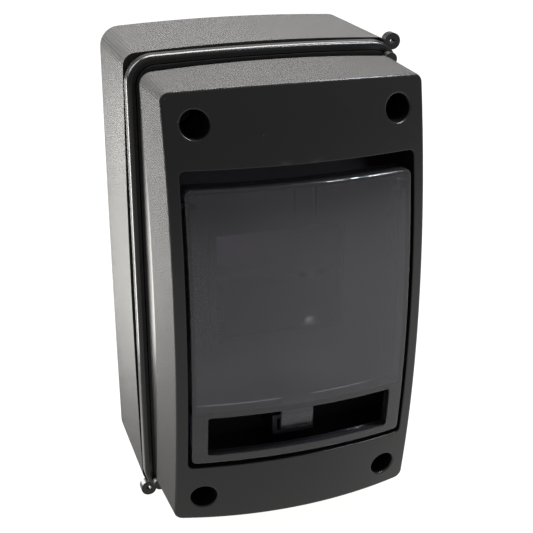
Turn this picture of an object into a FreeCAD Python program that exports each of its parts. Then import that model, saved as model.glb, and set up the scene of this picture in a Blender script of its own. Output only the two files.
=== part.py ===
import FreeCAD, Part
import math
import os

# Surface-mounted modular enclosure: base shell, sealed front cover, hinged smoked door and fittings.
# Millimetres. x runs to the right, y runs into the wall so the front faces -y, z runs up.
# The origin is the centre of the back face, on the wall. Depths named *_DEPTH count from the wall.

# Base shell
BASE_WIDTH = 112.4
BASE_HEIGHT = 200.8
BASE_WALL_DEPTH = 49.0
BASE_WALL = 2.6
BASE_FLARE_X = 0.98
BASE_DRAFT_Z = 1.97
BASE_BACK_BOW_X = 0.5
BASE_BACK_BOW_Z = 1.9
BASE_FRONT_BOW_X = 1.25
BASE_FRONT_BOW_Z = 2.06
BASE_BACK_CORNER_R = 8.5
BASE_FRONT_CORNER_R = 5.3

# Joint rim around the front of the base, behind it a shadow groove
GROOVE_WIDTH = 2.5
GROOVE_INSET = 2.2
RIM_LENGTH = 6.5
RIM_PROUD_X = 0.4
RIM_BACK_Z = 2.5
RIM_BOW_X = 0.05
RIM_BOW_Z = 1.3
RIM_CORNER_R = 11.2
RIM_FACE = 3.2
RIM_REAR_FILLET = 1.2
RIM_FRONT_FILLET = 1.8
LEDGE_WIDTH = 3.0
LEDGE_BACK = 2.0
GASKET_THICKNESS = 1.8
GASKET_WIDTH = 2.0
GASKET_GAP = 0.4

# Front cover
FLANGE_GAP = 0.3
FLANGE_PROUD = 1.5
FLANGE_LIP_X = 0.05
FLANGE_LIP_Z = 0.9
COVER_DEPTH = 106.0
COVER_WALL = 2.5
COVER_DRAFT = 0.045
COVER_BOW_X = 0.05
COVER_BOW_Z = 2.0
COVER_FOOT_CORNER_R = 5.5
COVER_FRONT_CORNER_R = 2.8
FRONT_BULGE_Z = 10.1
FRONT_BULGE_X = 6.0
FRONT_EDGE_FILLET = 1.2
SKIRT_INSET = 0.5
SKIRT_MID_DEPTH = 71.6
SKIRT_BULGE = 9.5

# Sealing eyelets on the base rim and lugs on the cover, at two opposite corners
EYELET_R = 3.4
EYELET_HOLE_R = 1.1
EYELET_THICKNESS = 3.8
EYELET_REACH = 2.7
EYELET_ANGLE = 47.0
LUG_R = 2.7
LUG_LENGTH = 3.0
LUG_REACH = -0.2

# Cover screws and their wells
WELL_INSET_X = 11.1
WELL_INSET_Z = 12.9
WELL_R = 5.3
WELL_WALL = 1.8
WELL_FLOOR = 3.0
WELL_MOUTH_FILLET = 0.8
BOSS_R = 5.4
BOSS_PROUD = 3.0
BOSS_GAP = 0.4
SCREW_HEAD_GAP = 0.4
SCREW_HEAD_LENGTH = 4.3
SCREW_SHANK_R = 2.5
SCREW_REACH = 14.0
SCREW_HOLE_GAP = 0.5
SCREW_SLOT_WIDTH = 1.6
SCREW_SLOT_DEPTH = 2.0
SEAL_THICKNESS = 1.2
SEAL_WALL = 1.4
INSERT_WALL = 1.1
INSERT_LENGTH = 12.0
RUNNING_GAP = 0.05

# Door recess in the cover, with the module aperture in its back panel
RECESS_SIDE = 4.3
RECESS_TOP_BAND = 29.3
RECESS_BOTTOM_BAND = 28.4
RECESS_CORNER_R = 2.2
RECESS_EDGE_FILLET = 0.4
RECESS_WALL = 2.2
PANEL_DEPTH = 74.0
PANEL_THICKNESS = 2.2
MODULE_WIDTH = 18.0
MODULE_COUNT = 3
MODULE_GAP = 0.6
APERTURE_HEIGHT = 46.0
APERTURE_CENTRE_Z = 4.5
APERTURE_RIM = 3.0
APERTURE_RIM_PROUD = 1.2
SHELF_GAP = 3.6
SHELF_PROUD = 3.0

# Smoked door
DOOR_SIDE_GAP = 1.4
DOOR_TOP_GAP = 7.2
DOOR_BOTTOM_GAP = 2.1
DOOR_CORNER_R = 2.2
DOOR_PLATE = 2.4
DOOR_RIM_WALL = 2.0
DOOR_RIM_DEPTH = 9.0
DOOR_FRAME_DEPTH = 4.5
DOOR_EDGE_FILLET = 0.7
SLOT_SIDE_BAR = 6.2
SLOT_BOTTOM_BAR = 3.9
SLOT_HEIGHT = 18.2
SLOT_LIP = 1.8
TONGUE_WIDTH = 13.6
TONGUE_DROP = 13.7
TONGUE_THICKNESS = 2.0
DOOR_RIB_SPACING = 8.4
DOOR_RIB_THICKNESS = 0.8
DOOR_RIB_HEIGHT = 11.5
DOOR_RIB_DEPTH = 1.6
KEEPER_HALF_WIDTH = 9.0
KEEPER_HEIGHT = 9.0
KEEPER_GAP = 1.6
KEEPER_WALL = 2.0

# Door hinge
HINGE_BELOW_DOOR_TOP = 6.5
HINGE_DEPTH = 93.5
HINGE_PIN_R = 1.6
HINGE_PIN_IN_COVER = 2.6
HINGE_PIN_IN_DOOR = 4.0
HINGE_PIN_END_GAP = 0.4
HINGE_LUG_WALL = 1.8

# Wall fixing
WALL_HOLE_INSET_X = 16.2
WALL_HOLE_INSET_Z = 50.4
WALL_HOLE_R = 2.6
WALL_HOLE_COLLAR_R = 5.6
WALL_HOLE_COLLAR = 3.0

# Top-hat rail and its supports
RAIL_WIDTH = 35.0
RAIL_CHANNEL = 27.0
RAIL_DEPTH = 7.5
RAIL_SHEET = 1.0
RAIL_END_GAP = 7.0
RAIL_HOLE_GAP = 0.3
RAIL_WEB_DEPTH = 20.5
SUPPORT_WIDTH = 12.0
SUPPORT_INSET = 18.2
SUPPORT_OVERLAP = 3.5
SUPPORT_FOOT = 7.0
SUPPORT_FOOT_THICKNESS = 3.0
PAD_HEIGHT = 4.0
PAD_MARGIN = 1.0

# Terminal bars and holders
BAR_TOP_INSET = 38.4
BAR_BOTTOM_INSET = 42.4
BAR_LENGTH = 60.0
BAR_HEIGHT = 8.0
BAR_THICKNESS = 9.0
BAR_FACE_DEPTH = 39.0
BAR_WAYS = 6
BAR_PITCH = 9.0
WIRE_HOLE_R = 2.2
TERMINAL_SCREW_R = 1.9
TERMINAL_SCREW_PROUD = 1.2
TERMINAL_SLOT_WIDTH = 0.8
TERMINAL_SLOT_DEPTH = 0.9
HOLDER_LIP = 2.0
HOLDER_LIP_OVER = 3.0
HOLDER_POST = 6.0
HOLDER_FOOT_LENGTH = 9.0
HOLDER_FOOT_THICKNESS = 3.0

# Small pan-head screws
PAN_HEAD_R = 3.2
PAN_HEAD_LENGTH = 2.2
PAN_SHANK_R = 1.5
PAN_REACH = 3.4
PAN_SLOT_WIDTH = 1.0
PAN_SLOT_DEPTH = 1.0

# Cable entries in the bottom wall, closed by rubber plugs
ENTRY_R = 8.1
ENTRY_SPACING = 44.0
ENTRY_DEPTH = 24.0
ENTRY_FACE_INSET = 1.8
ENTRY_PAD_THICKNESS = 2.8
ENTRY_PAD_MARGIN = 3.2
PLUG_FLANGE = 2.4
PLUG_OUTER_THICKNESS = 1.6
PLUG_INNER_FLANGE = 1.4
PLUG_INNER_THICKNESS = 1.2
PLUG_DIMPLE_R = 5.0
PLUG_DIMPLE_DEPTH = 0.8

# Lengths for cutting tools, and how near two places have to be to count as the same
FAR = 300.0
OVERSHOOT = 1.0
SAME_PLACE = 0.01

# Worked-out sizes: joint rim and gasket
RIM_REAR = BASE_WALL_DEPTH + GROOVE_WIDTH
RIM_FRONT = RIM_REAR + RIM_LENGTH
LEDGE_DEPTH = RIM_REAR + LEDGE_BACK
FLANGE_REAR = LEDGE_DEPTH + GASKET_THICKNESS
FLANGE_FRONT = RIM_FRONT + FLANGE_PROUD
RIM_HALF_W = BASE_WIDTH / 2 + RIM_PROUD_X
RIM_HALF_H = BASE_HEIGHT / 2 - RIM_BACK_Z
RIM_IN_HALF_W = RIM_HALF_W - RIM_FACE
RIM_IN_HALF_H = RIM_HALF_H - RIM_FACE

# Worked-out sizes: cover
FOOT_HALF_W = RIM_IN_HALF_W - FLANGE_GAP - FLANGE_LIP_X
FOOT_HALF_H = RIM_IN_HALF_H - FLANGE_GAP - FLANGE_LIP_Z
FRONT_SHRINK = COVER_DRAFT * (COVER_DEPTH - FLANGE_FRONT)
FACE_HALF_W = FOOT_HALF_W - FRONT_SHRINK
FACE_HALF_H = FOOT_HALF_H - FRONT_SHRINK
WELL_X = FACE_HALF_W - WELL_INSET_X
WELL_Z = FACE_HALF_H - WELL_INSET_Z
BOSS_DEPTH = FLANGE_FRONT + BOSS_PROUD
WELL_FLOOR_REAR = BOSS_DEPTH + BOSS_GAP
WELL_FLOOR_FRONT = WELL_FLOOR_REAR + WELL_FLOOR
WELLS = [(sx * WELL_X, sz * WELL_Z) for sx in (-1, 1) for sz in (-1, 1)]

# Worked-out sizes: recess, aperture and door
RECESS_HALF_W = FACE_HALF_W - RECESS_SIDE
RECESS_TOP = FACE_HALF_H - RECESS_TOP_BAND
RECESS_BOTTOM = -(FACE_HALF_H - RECESS_BOTTOM_BAND)
APERTURE_HALF_W = (MODULE_WIDTH * MODULE_COUNT + MODULE_GAP) / 2
APERTURE_TOP = APERTURE_CENTRE_Z + APERTURE_HEIGHT / 2
APERTURE_BOTTOM = APERTURE_CENTRE_Z - APERTURE_HEIGHT / 2
DOOR_HALF_W = RECESS_HALF_W - DOOR_SIDE_GAP
DOOR_TOP = RECESS_TOP - DOOR_TOP_GAP
DOOR_BOTTOM = RECESS_BOTTOM + DOOR_BOTTOM_GAP
SLOT_BOTTOM = DOOR_BOTTOM + SLOT_BOTTOM_BAR
SLOT_TOP = SLOT_BOTTOM + SLOT_HEIGHT
SLOT_HALF_W = DOOR_HALF_W - SLOT_SIDE_BAR
TONGUE_BOTTOM = SLOT_TOP - TONGUE_DROP
HINGE_Z = DOOR_TOP - HINGE_BELOW_DOOR_TOP

# Worked-out sizes: inside the base
PAD_DEPTH = BASE_WALL + PAD_HEIGHT
SUPPORT_X = BASE_WIDTH / 2 - SUPPORT_INSET
WALL_HOLE_X = BASE_WIDTH / 2 - WALL_HOLE_INSET_X
WALL_HOLE_Z = BASE_HEIGHT / 2 - WALL_HOLE_INSET_Z
NEUTRAL_Z = BASE_HEIGHT / 2 - BAR_TOP_INSET
EARTH_Z = -(BASE_HEIGHT / 2 - BAR_BOTTOM_INSET)
HOLDER_SCREW_X = BAR_LENGTH / 2 + HOLDER_FOOT_LENGTH / 2
SUPPORT_HALF_H = RAIL_WIDTH / 2 + SUPPORT_OVERLAP
SUPPORT_SCREW_OFFSET = SUPPORT_HALF_H + SUPPORT_FOOT / 2


def vec(x, depth, z):
    """A point given by its depth in front of the wall."""
    return FreeCAD.Vector(x, -depth, z)


def block(x0, x1, depth0, depth1, z0, z1):
    return Part.makeBox(x1 - x0, depth1 - depth0, z1 - z0, vec(x0, depth1, z0))


def rod_y(x, z, radius, depth0, depth1):
    return Part.makeCylinder(radius, depth1 - depth0, vec(x, depth1, z), FreeCAD.Vector(0, 1, 0))


def rod_x(depth, z, radius, x0, x1):
    return Part.makeCylinder(radius, x1 - x0, vec(x0, depth, z), FreeCAD.Vector(1, 0, 0))


def rod_z(x, depth, radius, z0, z1):
    return Part.makeCylinder(radius, z1 - z0, vec(x, depth, z0), FreeCAD.Vector(0, 0, 1))


def rounded_block(x0, x1, depth0, depth1, z0, z1, radius):
    """A block whose four edges along y are rounded."""
    body = block(x0, x1, depth0, depth1, z0, z1)
    along_y = [edge for edge in body.Edges if abs(abs(edge.tangentAt(edge.FirstParameter).y) - 1) < 1e-6]
    return body.makeFillet(radius, along_y)


def arc(start, middle, end):
    return Part.Arc(start, middle, end).toShape()


def bowed_corner(half_w, half_h, bow_x, bow_z, corner_r):
    """Centre of the corner round that is tangent to the bowed side and the bowed top, and both tangent points."""
    top_r = (half_w**2 + bow_z**2) / (2 * bow_z)
    side_r = (half_h**2 + bow_x**2) / (2 * bow_x)
    top_centre = FreeCAD.Vector(0, 0, half_h - top_r)
    side_centre = FreeCAD.Vector(half_w - side_r, 0, 0)
    gap = side_centre - top_centre
    to_top = top_r - corner_r
    to_side = side_r - corner_r
    along = (to_top**2 - to_side**2 + gap.Length**2) / (2 * gap.Length)
    across = math.sqrt(to_top**2 - along**2)
    unit = gap * (1 / gap.Length)
    centre = top_centre + unit * along + FreeCAD.Vector(unit.z, 0, -unit.x) * across
    top_point = top_centre + (centre - top_centre) * (top_r / to_top)
    side_point = side_centre + (centre - side_centre) * (side_r / to_side)
    return centre, top_point, side_point


def bowed_outline(half_w, half_h, bow_x, bow_z, corner_r, depth):
    """A closed rectangle with slightly bowed sides and round corners, in the plane at that depth."""
    centre, top, side = bowed_corner(half_w, half_h, bow_x, bow_z, corner_r)
    outward = (top - centre).normalize() + (side - centre).normalize()
    corner = centre + outward.normalize() * corner_r

    def at(point, sx, sz):
        return vec(sx * point.x, depth, sz * point.z)

    edges = []
    edges.append(arc(at(top, -1, 1), vec(0, depth, half_h), at(top, 1, 1)))
    edges.append(arc(at(top, 1, 1), at(corner, 1, 1), at(side, 1, 1)))
    edges.append(arc(at(side, 1, 1), vec(half_w, depth, 0), at(side, 1, -1)))
    edges.append(arc(at(side, 1, -1), at(corner, 1, -1), at(top, 1, -1)))
    edges.append(arc(at(top, 1, -1), vec(0, depth, -half_h), at(top, -1, -1)))
    edges.append(arc(at(top, -1, -1), at(corner, -1, -1), at(side, -1, -1)))
    edges.append(arc(at(side, -1, -1), vec(-half_w, depth, 0), at(side, -1, 1)))
    edges.append(arc(at(side, -1, 1), at(corner, -1, 1), at(top, -1, 1)))
    return Part.Wire(edges)


def straight_prism(half_w, half_h, bow_x, bow_z, corner_r, depth0, depth1):
    outline = bowed_outline(half_w, half_h, bow_x, bow_z, corner_r, depth0)
    return Part.Face(outline).extrude(FreeCAD.Vector(0, depth0 - depth1, 0))


def rim_prism(inset, depth0, depth1):
    """A prism inside the joint rim's outline, smaller by inset on every side."""
    corner_r = RIM_CORNER_R - inset
    return straight_prism(RIM_HALF_W - inset, RIM_HALF_H - inset, RIM_BOW_X, RIM_BOW_Z, corner_r, depth0, depth1)


def base_body(inset, depth0, depth1):
    """The drafted body of the base between two depths, smaller by inset on every side."""
    wires = []
    for depth in (depth0, depth1):
        share = depth / BASE_WALL_DEPTH
        half_w = BASE_WIDTH / 2 + BASE_FLARE_X * share - inset
        half_h = BASE_HEIGHT / 2 - BASE_DRAFT_Z * share - inset
        bow_x = BASE_BACK_BOW_X + (BASE_FRONT_BOW_X - BASE_BACK_BOW_X) * share
        bow_z = BASE_BACK_BOW_Z + (BASE_FRONT_BOW_Z - BASE_BACK_BOW_Z) * share
        corner_r = BASE_BACK_CORNER_R + (BASE_FRONT_CORNER_R - BASE_BACK_CORNER_R) * share - inset
        wires.append(bowed_outline(half_w, half_h, bow_x, bow_z, corner_r, depth))
    return Part.makeLoft(wires, True, True)


def cover_body(inset, depth0, depth1):
    """The drafted body of the cover between two depths, smaller by inset on every side."""
    wires = []
    for depth in (depth0, depth1):
        share = (depth - FLANGE_FRONT) / (COVER_DEPTH - FLANGE_FRONT)
        half_w = FOOT_HALF_W - FRONT_SHRINK * share - inset
        half_h = FOOT_HALF_H - FRONT_SHRINK * share - inset
        corner_r = COVER_FOOT_CORNER_R + (COVER_FRONT_CORNER_R - COVER_FOOT_CORNER_R) * share
        corner_r = max(corner_r - inset, 1.0)
        wires.append(bowed_outline(half_w, half_h, COVER_BOW_X, COVER_BOW_Z, corner_r, depth))
    return Part.makeLoft(wires, True, True)


FRONT_RADIUS_Z = (FACE_HALF_H**2 + FRONT_BULGE_Z**2) / (2 * FRONT_BULGE_Z)
FRONT_RADIUS_X = (FACE_HALF_W**2 + FRONT_BULGE_X**2) / (2 * FRONT_BULGE_X)


def front_depth(x, z):
    """Depth of the doubly curved front surface."""
    drop_x = FRONT_RADIUS_X - math.sqrt(FRONT_RADIUS_X**2 - x**2)
    spin = FRONT_RADIUS_Z - drop_x
    return COVER_DEPTH - FRONT_RADIUS_Z + math.sqrt(spin**2 - z**2)


def behind_front(inset):
    """Everything behind the front surface once it is moved back by inset."""
    reach = 1.4 * FACE_HALF_W
    radius = FRONT_RADIUS_X - inset
    front = COVER_DEPTH - inset
    edge_depth = front - radius + math.sqrt(radius**2 - reach**2)
    axis_depth = COVER_DEPTH - FRONT_RADIUS_Z
    left, right = vec(-reach, edge_depth, 0), vec(reach, edge_depth, 0)
    left_axis, right_axis = vec(-reach, axis_depth, 0), vec(reach, axis_depth, 0)
    edges = [arc(left, vec(0, front, 0), right)]
    edges.append(Part.makeLine(right, right_axis))
    edges.append(Part.makeLine(right_axis, left_axis))
    edges.append(Part.makeLine(left_axis, left))
    face = Part.Face(Part.Wire(edges))
    half_angle = math.degrees(math.asin(1.3 * FACE_HALF_H / FRONT_RADIUS_Z))
    face.rotate(left_axis, FreeCAD.Vector(1, 0, 0), -half_angle)
    return face.revolve(left_axis, FreeCAD.Vector(1, 0, 0), 2 * half_angle)


def front_edges(shape, keep):
    """Edges of shape that lie on the front surface and pass keep(x, z)."""
    found = []
    for edge in shape.Edges:
        first, last = edge.FirstParameter, edge.LastParameter
        points = [edge.valueAt(first + (last - first) * share) for share in (0.0, 0.25, 0.5, 0.75, 1.0)]
        on_front = all(abs(-point.y - front_depth(point.x, point.z)) < 2 * SAME_PLACE for point in points)
        if on_front and all(keep(point.x, point.z) for point in points):
            found.append(edge)
    return found


def edges_at_depth(shape, depth):
    """Edges of shape that lie wholly in the plane at that depth."""
    found = []
    for edge in shape.Edges:
        box = edge.BoundBox
        if abs(box.YMin + depth) < SAME_PLACE and abs(box.YMax + depth) < SAME_PLACE:
            found.append(edge)
    return found


def joined(first, *others):
    """One solid from touching or overlapping shapes."""
    result = first
    for other in others:
        result = result.fuse(other)
    return result.removeSplitter()


def corner_point(half_w, half_h, bow_x, bow_z, corner_r, reach, angle):
    """A point at an angle from the corner round's centre, reach beyond its edge."""
    centre = bowed_corner(half_w, half_h, bow_x, bow_z, corner_r)[0]
    turn = math.radians(angle)
    away = corner_r + reach
    return centre.x + away * math.cos(turn), centre.z + away * math.sin(turn)


def rear_base():
    shell = base_body(0, 0, BASE_WALL_DEPTH)
    groove = base_body(GROOVE_INSET, BASE_WALL_DEPTH - OVERSHOOT, RIM_REAR + OVERSHOOT)
    rim = rim_prism(0, RIM_REAR, RIM_FRONT)
    rim = rim.makeFillet(RIM_REAR_FILLET, edges_at_depth(rim, RIM_REAR))
    rim = rim.makeFillet(RIM_FRONT_FILLET, edges_at_depth(rim, RIM_FRONT))
    eyelet_x, eyelet_z = corner_point(
        RIM_HALF_W, RIM_HALF_H, RIM_BOW_X, RIM_BOW_Z, RIM_CORNER_R, EYELET_REACH, EYELET_ANGLE
    )
    eyelet_front = RIM_REAR + EYELET_THICKNESS
    body = joined(shell, groove, rim)
    for side in (1, -1):
        eyelet = rod_y(side * eyelet_x, side * eyelet_z, EYELET_R, RIM_REAR, eyelet_front)
        body = joined(body, eyelet)

    pocket = base_body(BASE_WALL, BASE_WALL, BASE_WALL_DEPTH - BASE_WALL)
    throat = rim_prism(RIM_FACE + LEDGE_WIDTH, BASE_WALL_DEPTH - BASE_WALL - OVERSHOOT, LEDGE_DEPTH + OVERSHOOT)
    seat = rim_prism(RIM_FACE, LEDGE_DEPTH, RIM_FRONT + OVERSHOOT)
    body = body.cut(pocket).cut(throat).cut(seat)
    for side in (1, -1):
        body = body.cut(rod_y(side * eyelet_x, side * eyelet_z, EYELET_HOLE_R, RIM_REAR - OVERSHOOT, RIM_FRONT))

    inside = base_body(BASE_WALL / 2, 0, BASE_WALL_DEPTH)
    for x, z in WELLS:
        boss = rod_y(x, z, BOSS_R, BASE_WALL / 2, BOSS_DEPTH)
        body = joined(body, boss)
        insert_r = SCREW_SHANK_R + RUNNING_GAP + INSERT_WALL
        body = body.cut(rod_y(x, z, insert_r, BOSS_DEPTH - INSERT_LENGTH, BOSS_DEPTH + OVERSHOOT))
        shank_hole_r = SCREW_SHANK_R + SCREW_HOLE_GAP
        body = body.cut(rod_y(x, z, shank_hole_r, BOSS_DEPTH - SCREW_REACH - OVERSHOOT, BOSS_DEPTH))
    for x, z in wall_holes():
        collar = rod_y(x, z, WALL_HOLE_COLLAR_R, BASE_WALL / 2, BASE_WALL + WALL_HOLE_COLLAR)
        body = joined(body, collar)
        body = body.cut(rod_y(x, z, WALL_HOLE_R, -OVERSHOOT, BASE_WALL + WALL_HOLE_COLLAR + OVERSHOOT))
    for x, z in small_screw_places():
        pad = rod_y(x, z, PAN_HEAD_R + PAD_MARGIN, BASE_WALL / 2, PAD_DEPTH)
        body = joined(body, pad)
        body = body.cut(rod_y(x, z, PAN_SHANK_R, PAD_DEPTH - PAN_REACH, PAD_DEPTH + OVERSHOOT))
    face_z = -(BASE_HEIGHT / 2 - ENTRY_FACE_INSET)
    for x in (-ENTRY_SPACING / 2, ENTRY_SPACING / 2):
        pad_r = ENTRY_R + ENTRY_PAD_MARGIN
        pad = rod_z(x, ENTRY_DEPTH, pad_r, face_z, face_z + ENTRY_PAD_THICKNESS)
        body = joined(body, pad.common(inside))
        body = body.cut(rod_z(x, ENTRY_DEPTH, pad_r, face_z - FAR, face_z))
        body = body.cut(rod_z(x, ENTRY_DEPTH, ENTRY_R, face_z - OVERSHOOT, face_z + ENTRY_PAD_THICKNESS + OVERSHOOT))
    return body


def wall_holes():
    return [(sx * WALL_HOLE_X, sz * WALL_HOLE_Z) for sx in (-1, 1) for sz in (-1, 1)]


def support_screw_places():
    offsets = (-SUPPORT_SCREW_OFFSET, SUPPORT_SCREW_OFFSET)
    return [(sx * SUPPORT_X, APERTURE_CENTRE_Z + offset) for sx in (-1, 1) for offset in offsets]


def holder_screw_places():
    return [(sx * HOLDER_SCREW_X, z) for sx in (-1, 1) for z in (NEUTRAL_Z, EARTH_Z)]


def small_screw_places():
    return support_screw_places() + holder_screw_places()


def joint_gasket():
    outer = rim_prism(RIM_FACE + GASKET_GAP, LEDGE_DEPTH, FLANGE_REAR)
    inner = rim_prism(RIM_FACE + GASKET_GAP + GASKET_WIDTH, LEDGE_DEPTH - OVERSHOOT, FLANGE_REAR + OVERSHOOT)
    return outer.cut(inner)


def cover_shell():
    """Outer walls of the cover, with its glossy lower skirt and the bowed step above it."""
    step_r = (FACE_HALF_H**2 + SKIRT_BULGE**2) / (2 * SKIRT_BULGE)
    behind_step = rod_x(SKIRT_MID_DEPTH - step_r, 0, step_r, -FAR, FAR)
    upper = cover_body(0, FLANGE_FRONT, COVER_DEPTH + OVERSHOOT).cut(behind_step)
    skirt = cover_body(SKIRT_INSET, FLANGE_FRONT - OVERSHOOT, COVER_DEPTH - OVERSHOOT)
    outer = joined(upper, skirt).common(behind_front(0))
    outer = outer.makeFillet(FRONT_EDGE_FILLET, front_edges(outer, lambda x, z: True))
    flange = rim_prism(RIM_FACE + FLANGE_GAP, FLANGE_REAR, FLANGE_FRONT)
    return joined(outer, flange)


def front_cover():
    outer = cover_shell()
    hollow = cover_body(COVER_WALL + SKIRT_INSET, FLANGE_REAR - OVERSHOOT, COVER_DEPTH)
    hollow = hollow.common(behind_front(COVER_WALL))
    body = outer.cut(hollow)

    wall = RECESS_WALL
    panel_rear = PANEL_DEPTH - PANEL_THICKNESS
    casing = block(
        -RECESS_HALF_W - wall, RECESS_HALF_W + wall, panel_rear, FAR, RECESS_BOTTOM - wall, RECESS_TOP + wall
    )
    body = joined(body, casing.common(outer))
    for x, z in WELLS:
        tube = rod_y(x, z, WELL_R + WELL_WALL, WELL_FLOOR_REAR, FAR)
        body = joined(body, tube.common(outer))
    recess = rounded_block(
        -RECESS_HALF_W, RECESS_HALF_W, PANEL_DEPTH, FAR, RECESS_BOTTOM, RECESS_TOP, RECESS_CORNER_R
    )
    body = body.cut(recess)
    for x, z in WELLS:
        body = body.cut(rod_y(x, z, WELL_R, WELL_FLOOR_FRONT, FAR))
    well_limit = WELL_R + OVERSHOOT

    def on_well_mouth(x, z):
        return any(math.hypot(x - well_x, z - well_z) < well_limit for well_x, well_z in WELLS)

    def on_recess_mouth(x, z):
        return abs(x) < RECESS_HALF_W + SAME_PLACE and RECESS_BOTTOM - SAME_PLACE < z < RECESS_TOP + SAME_PLACE

    body = body.makeFillet(WELL_MOUTH_FILLET, front_edges(body, on_well_mouth))
    body = body.makeFillet(RECESS_EDGE_FILLET, front_edges(body, on_recess_mouth))
    for x, z in WELLS:
        shank_hole_r = SCREW_SHANK_R + SCREW_HOLE_GAP
        body = body.cut(rod_y(x, z, shank_hole_r, WELL_FLOOR_REAR - OVERSHOOT, WELL_FLOOR_FRONT + OVERSHOOT))

    shelf_bottom = APERTURE_TOP + SHELF_GAP
    shelf = block(-RECESS_HALF_W, RECESS_HALF_W, PANEL_DEPTH, PANEL_DEPTH + SHELF_PROUD, shelf_bottom, RECESS_TOP)
    rim_half_w = APERTURE_HALF_W + APERTURE_RIM
    rim = block(
        -rim_half_w,
        rim_half_w,
        PANEL_DEPTH,
        PANEL_DEPTH + APERTURE_RIM_PROUD,
        APERTURE_BOTTOM - APERTURE_RIM,
        APERTURE_TOP + APERTURE_RIM,
    )
    body = joined(body, shelf, rim, latch_keeper())
    body = body.cut(
        block(
            -APERTURE_HALF_W,
            APERTURE_HALF_W,
            panel_rear - OVERSHOOT,
            PANEL_DEPTH + APERTURE_RIM_PROUD + OVERSHOOT,
            APERTURE_BOTTOM,
            APERTURE_TOP,
        )
    )
    pin_hole_r = HINGE_PIN_R + RUNNING_GAP
    pin_hole_end = RECESS_HALF_W + HINGE_PIN_IN_COVER + HINGE_PIN_END_GAP
    body = body.cut(rod_x(HINGE_DEPTH, HINGE_Z, pin_hole_r, -pin_hole_end, -RECESS_HALF_W + OVERSHOOT))
    body = body.cut(rod_x(HINGE_DEPTH, HINGE_Z, pin_hole_r, RECESS_HALF_W - OVERSHOOT, pin_hole_end))

    lug_x, lug_z = corner_point(
        FOOT_HALF_W, FOOT_HALF_H, COVER_BOW_X, COVER_BOW_Z, COVER_FOOT_CORNER_R, LUG_REACH, EYELET_ANGLE
    )
    for side in (1, -1):
        lug = rod_y(side * lug_x, side * lug_z, LUG_R, FLANGE_FRONT - OVERSHOOT / 2, FLANGE_FRONT + LUG_LENGTH)
        body = joined(body, lug.cut(hollow))
    return body


def latch_keeper():
    """Hollow post on the recess panel that the door's tongue closes against."""
    top = TONGUE_BOTTOM + KEEPER_HEIGHT / 2
    bottom = top - KEEPER_HEIGHT
    front = front_depth(KEEPER_HALF_WIDTH, bottom) - DOOR_RIM_DEPTH - KEEPER_GAP
    post = block(-KEEPER_HALF_WIDTH, KEEPER_HALF_WIDTH, PANEL_DEPTH - PANEL_THICKNESS / 2, front, bottom, top)
    core = block(
        -KEEPER_HALF_WIDTH + KEEPER_WALL,
        KEEPER_HALF_WIDTH - KEEPER_WALL,
        PANEL_DEPTH,
        front + OVERSHOOT,
        bottom + KEEPER_WALL,
        top - KEEPER_WALL,
    )
    return post.cut(core)


def door_window():
    blank = rounded_block(-DOOR_HALF_W, DOOR_HALF_W, PANEL_DEPTH, FAR, DOOR_BOTTOM, DOOR_TOP, DOOR_CORNER_R)
    front = behind_front(0)
    deep = behind_front(DOOR_RIM_DEPTH)
    body = blank.common(front).cut(deep)
    body = body.makeFillet(DOOR_EDGE_FILLET, front_edges(body, lambda x, z: True))
    cavity_bottom = SLOT_TOP + SLOT_LIP
    wall = DOOR_RIM_WALL
    cavity = rounded_block(
        -DOOR_HALF_W + wall, DOOR_HALF_W - wall, PANEL_DEPTH, FAR, cavity_bottom, DOOR_TOP - wall, DOOR_CORNER_R / 2
    )
    body = body.cut(cavity.common(behind_front(DOOR_PLATE)))
    lower = block(-FAR, FAR, 0, FAR, DOOR_BOTTOM - OVERSHOOT, SLOT_TOP)
    body = body.cut(lower.common(behind_front(DOOR_FRAME_DEPTH)))
    slot = rounded_block(-SLOT_HALF_W, SLOT_HALF_W, PANEL_DEPTH, FAR, SLOT_BOTTOM, SLOT_TOP, RECESS_CORNER_R / 2)
    body = body.cut(slot)

    half = TONGUE_WIDTH / 2
    tongue = block(-half, half, PANEL_DEPTH, FAR, TONGUE_BOTTOM, SLOT_TOP + SLOT_LIP / 2)
    tongue = tongue.common(behind_front(DOOR_RIM_DEPTH - TONGUE_THICKNESS)).cut(deep)
    body = joined(body, tongue)
    rib_shell = behind_front(DOOR_PLATE / 2).cut(behind_front(DOOR_PLATE + DOOR_RIB_DEPTH))
    for side in (-1, 1):
        x = side * DOOR_RIB_SPACING / 2
        half = DOOR_RIB_THICKNESS / 2
        rib = block(x - half, x + half, PANEL_DEPTH, FAR, DOOR_TOP - DOOR_RIB_HEIGHT, DOOR_TOP - wall / 2)
        body = joined(body, rib.common(rib_shell))
        lug_start = DOOR_HALF_W - HINGE_PIN_IN_DOOR - HINGE_LUG_WALL
        ends = sorted((side * lug_start, side * (DOOR_HALF_W - DOOR_RIM_WALL / 2)))
        body = joined(body, rod_x(HINGE_DEPTH, HINGE_Z, HINGE_PIN_R + HINGE_LUG_WALL, *ends))
        ends = sorted((side * (DOOR_HALF_W - HINGE_PIN_IN_DOOR), side * (DOOR_HALF_W + OVERSHOOT)))
        body = body.cut(rod_x(HINGE_DEPTH, HINGE_Z, HINGE_PIN_R, *ends))
    return body


def hinge_pin(side):
    ends = sorted((side * (DOOR_HALF_W - HINGE_PIN_IN_DOOR), side * (RECESS_HALF_W + HINGE_PIN_IN_COVER)))
    return rod_x(HINGE_DEPTH, HINGE_Z, HINGE_PIN_R, *ends)


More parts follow.
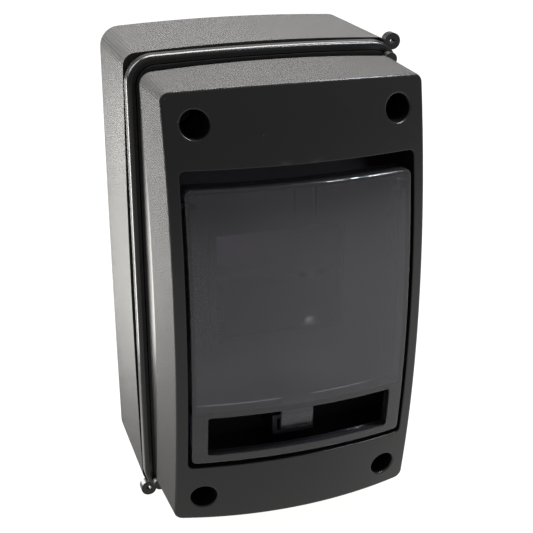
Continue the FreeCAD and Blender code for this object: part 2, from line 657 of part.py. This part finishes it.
def cover_screw(x, z):
    head_rear = WELL_FLOOR_FRONT + SEAL_THICKNESS
    head_front = head_rear + SCREW_HEAD_LENGTH
    head = rod_y(x, z, WELL_R - SCREW_HEAD_GAP, head_rear, head_front)
    head = head.makeFillet(SCREW_HEAD_GAP, edges_at_depth(head, head_front))
    shank = rod_y(x, z, SCREW_SHANK_R, BOSS_DEPTH - SCREW_REACH, head_rear)
    half = SCREW_SLOT_WIDTH / 2
    slot = block(x - WELL_R, x + WELL_R, head_front - SCREW_SLOT_DEPTH, FAR, z - half, z + half)
    return joined(head, shank).cut(slot)


def cover_screw_seals():
    inner_r = SCREW_SHANK_R + SCREW_HOLE_GAP
    rings = []
    for x, z in WELLS:
        ring = rod_y(x, z, inner_r + SEAL_WALL, WELL_FLOOR_FRONT, WELL_FLOOR_FRONT + SEAL_THICKNESS)
        rings.append(ring.cut(rod_y(x, z, inner_r, 0, FAR)))
    return Part.makeCompound(rings)


def boss_inserts():
    bore_r = SCREW_SHANK_R + RUNNING_GAP
    sleeves = []
    for x, z in WELLS:
        sleeve = rod_y(x, z, bore_r + INSERT_WALL, BOSS_DEPTH - INSERT_LENGTH, BOSS_DEPTH)
        sleeves.append(sleeve.cut(rod_y(x, z, bore_r, 0, FAR)))
    return Part.makeCompound(sleeves)


def rail_half_length():
    return BASE_WIDTH / 2 - BASE_WALL - RAIL_END_GAP


def din_rail():
    web = RAIL_WEB_DEPTH
    lip = web + RAIL_DEPTH
    sheet = RAIL_SHEET
    tip = RAIL_WIDTH / 2
    channel = RAIL_CHANNEL / 2
    half_profile = [
        (0, web), (channel, web), (channel, lip - sheet), (tip, lip - sheet),
        (tip, lip), (channel - sheet, lip), (channel - sheet, web + sheet), (0, web + sheet),
    ]
    profile = [(APERTURE_CENTRE_Z + z, depth) for z, depth in half_profile]
    profile += [(APERTURE_CENTRE_Z - z, depth) for z, depth in reversed(half_profile[1:-1])]
    half_length = rail_half_length()
    points = [vec(-half_length, depth, z) for z, depth in profile]
    rail = Part.Face(Part.makePolygon(points + points[:1])).extrude(FreeCAD.Vector(2 * half_length, 0, 0))
    for side in (-1, 1):
        hole_r = PAN_SHANK_R + RAIL_HOLE_GAP
        rail = rail.cut(rod_y(side * SUPPORT_X, APERTURE_CENTRE_Z, hole_r, 0, FAR))
    return rail


def rail_support(side):
    x = side * SUPPORT_X
    half_w = SUPPORT_WIDTH / 2
    top = APERTURE_CENTRE_Z + SUPPORT_HALF_H
    bottom = APERTURE_CENTRE_Z - SUPPORT_HALF_H
    foot_front = PAD_DEPTH + SUPPORT_FOOT_THICKNESS
    foot = block(x - half_w, x + half_w, PAD_DEPTH, foot_front, bottom - SUPPORT_FOOT, top + SUPPORT_FOOT)
    pillar = block(x - half_w, x + half_w, PAD_DEPTH, RAIL_WEB_DEPTH, bottom, top)
    support = joined(foot, pillar)
    for place_x, z in support_screw_places():
        support = support.cut(rod_y(place_x, z, PAN_SHANK_R, 0, FAR))
    return support.cut(rod_y(x, APERTURE_CENTRE_Z, PAN_SHANK_R, RAIL_WEB_DEPTH - PAN_REACH, FAR))


def pan_screw(x, z, seat, reach):
    """A slotted pan-head screw whose head rests on a face at the depth seat."""
    head = rod_y(x, z, PAN_HEAD_R, seat, seat + PAN_HEAD_LENGTH)
    shank = rod_y(x, z, PAN_SHANK_R, seat - reach, seat)
    half = PAN_SLOT_WIDTH / 2
    slot = block(x - PAN_HEAD_R, x + PAN_HEAD_R, seat + PAN_HEAD_LENGTH - PAN_SLOT_DEPTH, FAR, z - half, z + half)
    return joined(head, shank).cut(slot)


def support_screws():
    seat = PAD_DEPTH + SUPPORT_FOOT_THICKNESS
    reach = SUPPORT_FOOT_THICKNESS + PAN_REACH
    return Part.makeCompound([pan_screw(x, z, seat, reach) for x, z in support_screw_places()])


def rail_screws():
    seat = RAIL_WEB_DEPTH + RAIL_SHEET
    reach = RAIL_SHEET + PAN_REACH
    return Part.makeCompound([pan_screw(side * SUPPORT_X, APERTURE_CENTRE_Z, seat, reach) for side in (-1, 1)])


def bar_holder_screws():
    seat = PAD_DEPTH + HOLDER_FOOT_THICKNESS
    reach = HOLDER_FOOT_THICKNESS + PAN_REACH
    return Part.makeCompound([pan_screw(x, z, seat, reach) for x, z in holder_screw_places()])


def terminal_places():
    return [BAR_PITCH * (index - (BAR_WAYS - 1) / 2) for index in range(BAR_WAYS)]


def terminal_bar(z):
    rear = BAR_FACE_DEPTH - BAR_THICKNESS
    half = BAR_HEIGHT / 2
    bar = block(-BAR_LENGTH / 2, BAR_LENGTH / 2, rear, BAR_FACE_DEPTH, z - half, z + half)
    for x in terminal_places():
        bar = bar.cut(rod_z(x, rear + BAR_THICKNESS / 2, WIRE_HOLE_R, z - BAR_HEIGHT, z + BAR_HEIGHT))
        bar = bar.cut(rod_y(x, z, TERMINAL_SCREW_R, rear + BAR_THICKNESS / 2, FAR))
    return bar


def terminal_screws(z):
    """Clamp screws, each standing clear of the wire hole below it."""
    tip = BAR_FACE_DEPTH - BAR_THICKNESS / 2 + WIRE_HOLE_R
    head = BAR_FACE_DEPTH + TERMINAL_SCREW_PROUD
    half = TERMINAL_SLOT_WIDTH / 2
    screws = []
    for x in terminal_places():
        slot = block(
            x - TERMINAL_SCREW_R, x + TERMINAL_SCREW_R, head - TERMINAL_SLOT_DEPTH, FAR, z - half, z + half
        )
        screws.append(rod_y(x, z, TERMINAL_SCREW_R, tip, head).cut(slot))
    return Part.makeCompound(screws)


def bar_holder(z):
    """Insulating bridge with a foot and a lipped post at each end of its bar."""
    rear = BAR_FACE_DEPTH - BAR_THICKNESS
    half_h = BAR_HEIGHT / 2
    foot_front = PAD_DEPTH + HOLDER_FOOT_THICKNESS
    end = BAR_LENGTH / 2
    bridge = block(-end, end, rear - HOLDER_FOOT_THICKNESS, rear, z - half_h, z + half_h)
    parts = []
    for side in (-1, 1):
        post_x = sorted((side * end, side * (end - HOLDER_POST)))
        parts.append(block(*post_x, PAD_DEPTH, rear, z - half_h, z + half_h))
        foot_x = sorted((side * (end - HOLDER_POST), side * (end + HOLDER_FOOT_LENGTH)))
        parts.append(block(*foot_x, PAD_DEPTH, foot_front, z - half_h, z + half_h))
        lip_x = sorted((side * end, side * (end + HOLDER_LIP)))
        lip_front = BAR_FACE_DEPTH + HOLDER_LIP
        parts.append(block(*lip_x, rear - HOLDER_FOOT_THICKNESS, lip_front, z - half_h, z + half_h))
        over_x = sorted((side * (end - HOLDER_LIP_OVER), side * (end + HOLDER_LIP)))
        parts.append(block(*over_x, BAR_FACE_DEPTH, lip_front, z - half_h, z + half_h))
    holder = joined(bridge, *parts)
    for side in (-1, 1):
        holder = holder.cut(rod_y(side * HOLDER_SCREW_X, z, PAN_SHANK_R, 0, foot_front + OVERSHOOT))
    return holder


def entry_plug(x):
    face_z = -(BASE_HEIGHT / 2 - ENTRY_FACE_INSET)
    inner_z = face_z + ENTRY_PAD_THICKNESS
    outer = rod_z(x, ENTRY_DEPTH, ENTRY_R + PLUG_FLANGE, face_z - PLUG_OUTER_THICKNESS, face_z)
    body = rod_z(x, ENTRY_DEPTH, ENTRY_R, face_z - PLUG_OUTER_THICKNESS / 2, inner_z + PLUG_INNER_THICKNESS / 2)
    inner = rod_z(x, ENTRY_DEPTH, ENTRY_R + PLUG_INNER_FLANGE, inner_z, inner_z + PLUG_INNER_THICKNESS)
    dimple_top = face_z - PLUG_OUTER_THICKNESS + PLUG_DIMPLE_DEPTH
    dimple = rod_z(x, ENTRY_DEPTH, PLUG_DIMPLE_R, face_z - FAR, dimple_top)
    return joined(outer, body, inner).cut(dimple)


def all_nodes():
    nodes = {
        "rear_base": rear_base(),
        "joint_gasket": joint_gasket(),
        "front_cover": front_cover(),
        "door_window": door_window(),
        "hinge_pin_left": hinge_pin(-1),
        "hinge_pin_right": hinge_pin(1),
        "cover_screw_top_left": cover_screw(-WELL_X, WELL_Z),
        "cover_screw_top_right": cover_screw(WELL_X, WELL_Z),
        "cover_screw_bottom_left": cover_screw(-WELL_X, -WELL_Z),
        "cover_screw_bottom_right": cover_screw(WELL_X, -WELL_Z),
        "cover_screw_seals": cover_screw_seals(),
        "boss_inserts": boss_inserts(),
        "din_rail": din_rail(),
        "rail_support_left": rail_support(-1),
        "rail_support_right": rail_support(1),
        "support_screws": support_screws(),
        "rail_screws": rail_screws(),
        "neutral_terminal_bar": terminal_bar(NEUTRAL_Z),
        "neutral_terminal_screws": terminal_screws(NEUTRAL_Z),
        "neutral_bar_holder": bar_holder(NEUTRAL_Z),
        "earth_terminal_bar": terminal_bar(EARTH_Z),
        "earth_terminal_screws": terminal_screws(EARTH_Z),
        "earth_bar_holder": bar_holder(EARTH_Z),
        "bar_holder_screws": bar_holder_screws(),
        "entry_plug_left": entry_plug(-ENTRY_SPACING / 2),
        "entry_plug_right": entry_plug(ENTRY_SPACING / 2),
    }
    return nodes


def main():
    os.makedirs("parts", exist_ok=True)
    for name, shape in all_nodes().items():
        shape.exportStep(f"parts/{name}.step")
        print(name, "valid" if shape.isValid() else "NOT VALID", len(shape.Solids), "solids")


main()
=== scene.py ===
import math

import bmesh
import bpy
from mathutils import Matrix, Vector


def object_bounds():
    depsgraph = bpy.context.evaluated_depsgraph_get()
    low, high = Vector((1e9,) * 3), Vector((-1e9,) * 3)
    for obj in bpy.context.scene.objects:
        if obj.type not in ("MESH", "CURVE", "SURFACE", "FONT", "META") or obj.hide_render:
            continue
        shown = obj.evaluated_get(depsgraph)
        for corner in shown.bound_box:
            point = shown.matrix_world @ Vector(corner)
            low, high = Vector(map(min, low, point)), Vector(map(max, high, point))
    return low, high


# Looks for the enclosure. Metres, x to the right, y into the wall, z up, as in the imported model.
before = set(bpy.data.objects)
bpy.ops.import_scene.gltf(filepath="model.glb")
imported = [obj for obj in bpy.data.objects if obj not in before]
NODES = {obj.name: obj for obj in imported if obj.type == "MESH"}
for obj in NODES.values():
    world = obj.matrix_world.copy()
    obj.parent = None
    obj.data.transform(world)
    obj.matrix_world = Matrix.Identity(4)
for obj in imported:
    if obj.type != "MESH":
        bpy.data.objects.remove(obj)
CAD_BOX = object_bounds()

# Camera: where it aims, how far away it is, and its angle round and above the object
CAMERA_TARGET = Vector((-0.0047, -0.0705, 0.0100))
CAMERA_DISTANCE = 0.4500
CAMERA_AZIMUTH = -18.549
CAMERA_ELEVATION = 22.14
CAMERA_LENS_MM = 73.97
SENSOR_MM = 36.0

# Where the walls are textured, in metres from the object's middle and from the wall it hangs on
BASE_TEXTURE_X = 0.050
BASE_TEXTURE_Z = 0.092
BASE_TEXTURE_DEPTH = 0.0488
COVER_TEXTURE_X = 0.0485
COVER_TEXTURE_Z = 0.0890

# The smooth skirt behind the cover's texture: its front edge curves back towards top and bottom
SKIRT_DEPTH = 0.0716
SKIRT_BULGE = 0.0095
COVER_HALF_HEIGHT = 0.0914

# Black plastic, and the dust on it
BLACK = (0.0085, 0.0083, 0.0080)
DUST = (0.10, 0.10, 0.095)
BASE_WALL_ROUGHNESS = 0.50
BASE_SMOOTH_ROUGHNESS = 0.20
COVER_WALL_ROUGHNESS = 0.66
COVER_SMOOTH_ROUGHNESS = 0.30

# Mould texture on the side, top and bottom walls
HATCH_PITCH = 0.00105
BASE_HATCH_DEPTH = 0.00012
COVER_HATCH_DEPTH = 0.00007
GRAIN_SHARE = 0.35

# Smoked polycarbonate of the door, and the dust on it
SMOKE_SURFACE = (0.80, 0.77, 0.83)
SMOKE_IOR = 1.58
SMOKE_TINT = (0.30, 0.26, 0.36)
SMOKE_DENSITY = 420.0
DOOR_DUST = (0.45, 0.45, 0.44)
CLEAN_TRANSMISSION = 0.97
DUSTY_TRANSMISSION = 0.55

# Brightness of the floor and the surroundings as the object sees them, where 1 is white, and where
# the floor's changes between FAR, NEAR and BEHIND, and LEFT and RIGHT
FLOOR_SIZE = 4.0
FLOOR_FAR_FRONT = 0.22
FLOOR_FRONT = 0.78
FLOOR_BEHIND = 0.38
FLOOR_LEFT_SHARE = 0.72
FLOOR_RIGHT_SHARE = 1.05
FLOOR_FAR_Y = -1.4
FLOOR_NEAR_Y = -0.1
FLOOR_BEHIND_Y = 0.2
FLOOR_LEFT_X = -0.10
FLOOR_RIGHT_X = 0.25
WORLD_FRONT = 0.25
WORLD_BEHIND = 0.40

# Lamps: name, place, aim, width, height, watts and colour. Their places and powers are a choice
# made for the picture. The small panel stands close to the lower left wall.
BODY_MIDDLE = (0, -0.05, 0)
LOWER_LEFT_WALL = (-0.055, -0.03, -0.05)
LAMPS = (
    ("panel_left", (-0.140, 0.065, -0.055), LOWER_LEFT_WALL, 0.08, 0.26, 0.66, (1.0, 0.98, 0.94)),
    ("softbox_above", (0.12, 0.44, 1.10), BODY_MIDDLE, 0.80, 0.80, 31.0, (1.0, 0.97, 0.94)),
    ("softbox_corner", (-0.75, 0.65, 0.70), BODY_MIDDLE, 0.80, 0.80, 14.0, (1.0, 1.0, 1.0)),
    ("strip_right", (0.50, -0.30, 0.85), BODY_MIDDLE, 0.10, 0.30, 9.0, (0.92, 0.95, 1.0)),
)


# ---------------------------------------------------------------- node helpers


def add(tree, kind, **settings):
    node = tree.nodes.new(kind)
    for name, value in settings.items():
        setattr(node, name, value)
    return node


def put(tree, socket, value):
    """Links an output to the socket, or sets the socket's own value."""
    if hasattr(value, "is_output"):
        tree.links.new(value, socket)
    else:
        socket.default_value = value


def calc(tree, operation, *values):
    node = add(tree, "ShaderNodeMath", operation=operation)
    for socket, value in zip(node.inputs, values):
        put(tree, socket, value)
    return node.outputs[0]


def smooth_step(tree, value, low, high, start=0.0, end=1.0):
    node = add(tree, "ShaderNodeMapRange", interpolation_type="SMOOTHSTEP")
    for socket, given in zip(node.inputs, (value, low, high, start, end)):
        put(tree, socket, given)
    return node.outputs[0]


def blend_numbers(tree, share, first, second):
    """First where share is 0, second where it is 1."""
    node = add(tree, "ShaderNodeMix", data_type="FLOAT")
    for index, given in ((0, share), (2, first), (3, second)):
        put(tree, node.inputs[index], given)
    return node.outputs[0]


def blend_colours(tree, share, first, second):
    """First where share is 0, second where it is 1."""
    node = add(tree, "ShaderNodeMix", data_type="RGBA")
    put(tree, node.inputs[0], share)
    node.inputs[6].default_value = (*first, 1.0)
    node.inputs[7].default_value = (*second, 1.0)
    return node.outputs[2]


def place(tree):
    """The piece's own coordinates as separate x, y, z outputs, and the vector."""
    source = add(tree, "ShaderNodeTexCoord")
    parts = add(tree, "ShaderNodeSeparateXYZ")
    tree.links.new(source.outputs["Object"], parts.inputs[0])
    return parts.outputs[0], parts.outputs[1], parts.outputs[2], source.outputs["Object"]


def facing(tree):
    """How much the surface faces along x, y and z, each from 0 to 1."""
    source = add(tree, "ShaderNodeTexCoord")
    parts = add(tree, "ShaderNodeSeparateXYZ")
    tree.links.new(source.outputs["Normal"], parts.inputs[0])
    return [calc(tree, "ABSOLUTE", output) for output in parts.outputs]


def noise(tree, vector, scale, detail=3.0, roughness=0.5):
    node = add(tree, "ShaderNodeTexNoise")
    tree.links.new(vector, node.inputs["Vector"])
    node.inputs["Scale"].default_value = scale
    node.inputs["Detail"].default_value = detail
    node.inputs["Roughness"].default_value = roughness
    return node.outputs["Fac"]


def stretched(tree, vector, scale):
    node = add(tree, "ShaderNodeMapping")
    tree.links.new(vector, node.inputs["Vector"])
    node.inputs["Scale"].default_value = scale
    return node.outputs[0]


def specks(tree, vector, scale, size, share):
    """Small round dust specks, 1 inside a speck, in some of the cells only."""
    node = add(tree, "ShaderNodeTexVoronoi")
    tree.links.new(vector, node.inputs["Vector"])
    node.inputs["Scale"].default_value = scale
    near = smooth_step(tree, node.outputs["Distance"], 0.5 * size, size, 1.0, 0.0)
    cell = add(tree, "ShaderNodeSeparateColor")
    tree.links.new(node.outputs["Color"], cell.inputs[0])
    chosen = calc(tree, "LESS_THAN", cell.outputs[0], share)
    return calc(tree, "MULTIPLY", near, chosen)


def bump(tree, shader, height, distance):
    """Raises the shader's surface by distance, in metres, where height is 1."""
    node = add(tree, "ShaderNodeBump")
    node.inputs["Distance"].default_value = distance
    node.inputs["Strength"].default_value = 1.0
    tree.links.new(height, node.inputs["Height"])
    tree.links.new(node.outputs["Normal"], shader.inputs["Normal"])


def new_material(name, colour, roughness, metallic=0.0, ior=1.5):
    material = bpy.data.materials.new(name)
    material.use_nodes = True
    shader = material.node_tree.nodes["Principled BSDF"]
    shader.inputs["Base Color"].default_value = (*colour, 1.0)
    shader.inputs["Roughness"].default_value = roughness
    shader.inputs["Metallic"].default_value = metallic
    shader.inputs["IOR"].default_value = ior
    return material, material.node_tree, shader


# ---------------------------------------------------------------- materials


def hatch_height(tree, x, y, z, face):
    """Diamond mould texture on the side, top and bottom walls, as a height from -1 to 1."""
    on_side = calc(tree, "GREATER_THAN", face[0], face[2])
    across = blend_numbers(tree, on_side, x, y)
    along = blend_numbers(tree, on_side, y, z)
    turn = math.pi / HATCH_PITCH
    rising = calc(tree, "MULTIPLY", calc(tree, "ADD", across, along), turn)
    falling = calc(tree, "MULTIPLY", calc(tree, "SUBTRACT", across, along), turn)
    return calc(tree, "MULTIPLY", calc(tree, "SINE", rising), calc(tree, "SINE", falling))


def housing_material(name, textured_area, hatch_depth, wall_roughness, smooth_roughness):
    """Black moulded plastic: hatched satin walls, with smoother faces where textured_area is 0."""
    material, tree, shader = new_material(name, BLACK, 0.4)
    x, y, z, vector = place(tree)
    face = facing(tree)
    textured = textured_area(tree, x, y, z, face)
    hatch = calc(tree, "MULTIPLY", hatch_height(tree, x, y, z, face), textured)
    grain = noise(tree, vector, scale=2600.0, detail=2.0)
    cloud = noise(tree, vector, scale=28.0, detail=4.0, roughness=0.6)
    height = calc(tree, "ADD", hatch, calc(tree, "MULTIPLY", grain, GRAIN_SHARE))
    bump(tree, shader, height, hatch_depth)
    wall = blend_numbers(tree, cloud, wall_roughness - 0.05, wall_roughness + 0.05)
    smooth = blend_numbers(tree, cloud, smooth_roughness - 0.04, smooth_roughness + 0.06)
    tree.links.new(blend_numbers(tree, textured, smooth, wall), shader.inputs["Roughness"])
    dust = specks(tree, vector, scale=260.0, size=0.06, share=0.10)
    tree.links.new(blend_colours(tree, dust, BLACK, DUST), shader.inputs["Base Color"])
    return material


def outer_walls(tree, x, z, face, limit_x, limit_z):
    """1 on the outer side walls, 0 inside the box and on faces that look along y."""
    far_x = calc(tree, "GREATER_THAN", calc(tree, "ABSOLUTE", x), limit_x)
    far_z = calc(tree, "GREATER_THAN", calc(tree, "ABSOLUTE", z), limit_z)
    outside = calc(tree, "MAXIMUM", far_x, far_z)
    sideways = smooth_step(tree, face[1], 0.35, 0.75, 1.0, 0.0)
    return calc(tree, "MULTIPLY", outside, sideways)


def base_texture(tree, x, y, z, face):
    """1 on the base's outer walls behind the groove, 0 on the rim and inside."""
    behind_groove = calc(tree, "GREATER_THAN", y, -BASE_TEXTURE_DEPTH)
    walls = outer_walls(tree, x, z, face, BASE_TEXTURE_X, BASE_TEXTURE_Z)
    return calc(tree, "MULTIPLY", walls, behind_groove)


def cover_texture(tree, x, y, z, face):
    """1 on the cover's outer walls in front of the skirt, 0 on the skirt, the front and inside."""
    share = calc(tree, "DIVIDE", z, COVER_HALF_HEIGHT)
    drop = calc(tree, "MULTIPLY", calc(tree, "MULTIPLY", share, share), SKIRT_BULGE)
    step_y = calc(tree, "SUBTRACT", drop, SKIRT_DEPTH)
    before_skirt = calc(tree, "LESS_THAN", y, step_y)
    walls = outer_walls(tree, x, z, face, COVER_TEXTURE_X, COVER_TEXTURE_Z)
    return calc(tree, "MULTIPLY", walls, before_skirt)


def smoked_material():
    """Smoked polycarbonate, slightly violet and hazy, with fine dust on it."""
    material, tree, shader = new_material("smoked_polycarbonate", SMOKE_SURFACE, 0.1, ior=SMOKE_IOR)
    _, _, _, vector = place(tree)
    cloud = noise(tree, vector, scale=22.0)
    tree.links.new(blend_numbers(tree, cloud, 0.07, 0.12), shader.inputs["Roughness"])
    dust = specks(tree, vector, scale=420.0, size=0.11, share=0.22)
    tree.links.new(blend_colours(tree, dust, SMOKE_SURFACE, DOOR_DUST), shader.inputs["Base Color"])
    clearness = blend_numbers(tree, dust, CLEAN_TRANSMISSION, DUSTY_TRANSMISSION)
    tree.links.new(clearness, shader.inputs["Transmission Weight"])
    bump(tree, shader, noise(tree, vector, scale=60.0, detail=2.0), 0.00003)
    tint = add(tree, "ShaderNodeVolumeAbsorption")
    tint.inputs["Color"].default_value = (*SMOKE_TINT, 1.0)
    tint.inputs["Density"].default_value = SMOKE_DENSITY
    tree.links.new(tint.outputs[0], tree.nodes["Material Output"].inputs["Volume"])
    return material


def rubber_material():
    """Black rubber with a fine grain and a pale bloom in patches."""
    material, tree, shader = new_material("seal_rubber", (0.012, 0.012, 0.012), 0.7)
    _, _, _, vector = place(tree)
    bump(tree, shader, noise(tree, vector, scale=1800.0), 0.00004)
    bloom = noise(tree, vector, scale=90.0, detail=4.0)
    colour = blend_colours(tree, bloom, (0.009, 0.009, 0.009), (0.022, 0.022, 0.021))
    tree.links.new(colour, shader.inputs["Base Color"])
    return material


def plastic_material(name, colour, roughness):
    """Plain moulded plastic with fine grain and slight colour variation."""
    material, tree, shader = new_material(name, colour, roughness)
    _, _, _, vector = place(tree)
    bump(tree, shader, noise(tree, vector, scale=2200.0, detail=2.0), 0.00002)
    cloud = noise(tree, vector, scale=60.0)
    darker = tuple(0.82 * part for part in colour)
    tree.links.new(blend_colours(tree, cloud, darker, colour), shader.inputs["Base Color"])
    rough = blend_numbers(tree, cloud, roughness - 0.05, roughness + 0.07)
    tree.links.new(rough, shader.inputs["Roughness"])
    return material


def metal_material(name, colour, dull, roughness, grain_scale):
    """Metal with fine drawn lines along x and cloudy dull patches."""
    material, tree, shader = new_material(name, colour, roughness, metallic=1.0)
    _, _, _, vector = place(tree)
    lines = noise(tree, stretched(tree, vector, grain_scale), scale=1.0, detail=4.0)
    bump(tree, shader, lines, 0.00002)
    cloud = noise(tree, vector, scale=140.0, detail=4.0, roughness=0.65)
    tree.links.new(blend_colours(tree, cloud, colour, dull), shader.inputs["Base Color"])
    rough = blend_numbers(tree, cloud, roughness - 0.06, roughness + 0.12)
    tree.links.new(rough, shader.inputs["Roughness"])
    return material


def assign(material, *names):
    for name in names:
        slots = NODES[name].data.materials
        slots.clear()
        slots.append(material)


def dress_housing():
    base = housing_material(
        "base_plastic", base_texture, BASE_HATCH_DEPTH, BASE_WALL_ROUGHNESS, BASE_SMOOTH_ROUGHNESS
    )
    cover = housing_material(
        "cover_plastic", cover_texture, COVER_HATCH_DEPTH, COVER_WALL_ROUGHNESS, COVER_SMOOTH_ROUGHNESS
    )
    assign(base, "rear_base")
    assign(cover, "front_cover")
    assign(smoked_material(), "door_window")


def dress_plastics():
    corners = ("top_left", "top_right", "bottom_left", "bottom_right")
    screw = plastic_material("screw_plastic", (0.010, 0.010, 0.010), 0.30)
    assign(screw, *[f"cover_screw_{corner}" for corner in corners])
    assign(rubber_material(), "joint_gasket", "cover_screw_seals", "entry_plug_left", "entry_plug_right")
    grey = plastic_material("grey_plastic", (0.18, 0.18, 0.185), 0.45)
    assign(grey, "rail_support_left", "rail_support_right")
    assign(plastic_material("blue_plastic", (0.02, 0.10, 0.38), 0.35), "neutral_bar_holder")
    assign(plastic_material("green_plastic", (0.03, 0.20, 0.05), 0.35), "earth_bar_holder")


def dress_metals():
    drawn = (40, 1500, 1500)
    machined = (60, 1800, 1800)
    zinc = metal_material("zinc_plated_steel", (0.62, 0.63, 0.64), (0.46, 0.46, 0.45), 0.42, drawn)
    assign(zinc, "din_rail", "support_screws", "rail_screws")
    assign(zinc, "neutral_terminal_screws", "earth_terminal_screws", "bar_holder_screws")
    blued = metal_material("blued_steel", (0.05, 0.05, 0.055), (0.03, 0.03, 0.03), 0.40, drawn)
    assign(blued, "hinge_pin_left", "hinge_pin_right")
    brass = metal_material("machined_brass", (0.72, 0.53, 0.24), (0.55, 0.38, 0.16), 0.26, machined)
    assign(brass, "boss_inserts", "neutral_terminal_bar", "earth_terminal_bar")


# ---------------------------------------------------------------- surroundings


def make_floor():
    """Floor that glows white for the camera and dimmer, with soft steps, for the object."""
    low, _ = CAD_BOX
    mesh = bpy.data.meshes.new("floor")
    shape = bmesh.new()
    bmesh.ops.create_grid(shape, x_segments=1, y_segments=1, size=FLOOR_SIZE)
    shape.to_mesh(mesh)
    shape.free()
    floor = bpy.data.objects.new("floor", mesh)
    floor.location.z = low.z
    bpy.context.scene.collection.objects.link(floor)
    material, tree, shader = new_material("floor_white", (0.03, 0.03, 0.03), 0.8)
    x, y, _, _ = place(tree)
    depth = smooth_step(tree, y, FLOOR_FAR_Y, FLOOR_NEAR_Y, FLOOR_FAR_FRONT, FLOOR_FRONT)
    sideways = smooth_step(
        tree, x, FLOOR_LEFT_X, FLOOR_RIGHT_X, FLOOR_LEFT_SHARE, FLOOR_RIGHT_SHARE
    )
    front = calc(tree, "MULTIPLY", depth, sideways)
    behind = smooth_step(tree, y, FLOOR_NEAR_Y, FLOOR_BEHIND_Y, 0.0, FLOOR_BEHIND - FLOOR_FRONT)
    lit = calc(tree, "ADD", front, behind)
    shader.inputs["Emission Color"].default_value = (1.0, 1.0, 0.99, 1.0)
    tree.links.new(white_to_camera(tree, lit), shader.inputs["Emission Strength"])
    mesh.materials.append(material)


def white_to_camera(tree, strength):
    """1 for rays from the camera, strength for the rays that light the object or show in it."""
    path = add(tree, "ShaderNodeLightPath")
    return blend_numbers(tree, path.outputs["Is Camera Ray"], strength, 1.0)


def make_world():
    """White all round for the camera; for the object, brighter behind than in front."""
    world = bpy.data.worlds.new("studio")
    bpy.context.scene.world = world
    world.use_nodes = True
    tree = world.node_tree
    source = add(tree, "ShaderNodeTexCoord")
    parts = add(tree, "ShaderNodeSeparateXYZ")
    tree.links.new(source.outputs["Generated"], parts.inputs[0])
    behind = smooth_step(tree, parts.outputs[1], -0.35, 0.75, WORLD_FRONT, WORLD_BEHIND)
    background = tree.nodes["Background"]
    background.inputs["Color"].default_value = (1.0, 1.0, 1.0, 1.0)
    tree.links.new(white_to_camera(tree, behind), background.inputs["Strength"])


def aimed(location, target):
    """Rotation that points an object's -Z from location to target."""
    return (Vector(target) - Vector(location)).to_track_quat("-Z", "Y").to_euler()


def area_light(name, location, target, width, height, power, colour):
    """A rectangular lamp that the camera doesn't see."""
    data = bpy.data.lights.new(name, "AREA")
    data.shape = "RECTANGLE"
    data.size = width
    data.size_y = height
    data.energy = power
    data.color = colour
    light = bpy.data.objects.new(name, data)
    light.location = location
    light.rotation_euler = aimed(location, target)
    light.visible_camera = False
    bpy.context.scene.collection.objects.link(light)


def make_camera():
    azimuth = math.radians(CAMERA_AZIMUTH)
    elevation = math.radians(CAMERA_ELEVATION)
    level = math.cos(elevation)
    back = Vector((math.sin(azimuth) * level, -math.cos(azimuth) * level, math.sin(elevation)))
    data = bpy.data.cameras.new("camera")
    data.sensor_width = SENSOR_MM
    data.lens = CAMERA_LENS_MM
    data.clip_start = 0.01
    camera = bpy.data.objects.new("camera", data)
    camera.location = CAMERA_TARGET + CAMERA_DISTANCE * back
    camera.rotation_euler = aimed(camera.location, CAMERA_TARGET)
    bpy.context.scene.collection.objects.link(camera)
    bpy.context.scene.camera = camera


bpy.context.scene.view_settings.view_transform = "Standard"
dress_housing()
dress_plastics()
dress_metals()
make_floor()
make_world()
for lamp in LAMPS:
    area_light(*lamp)
make_camera()
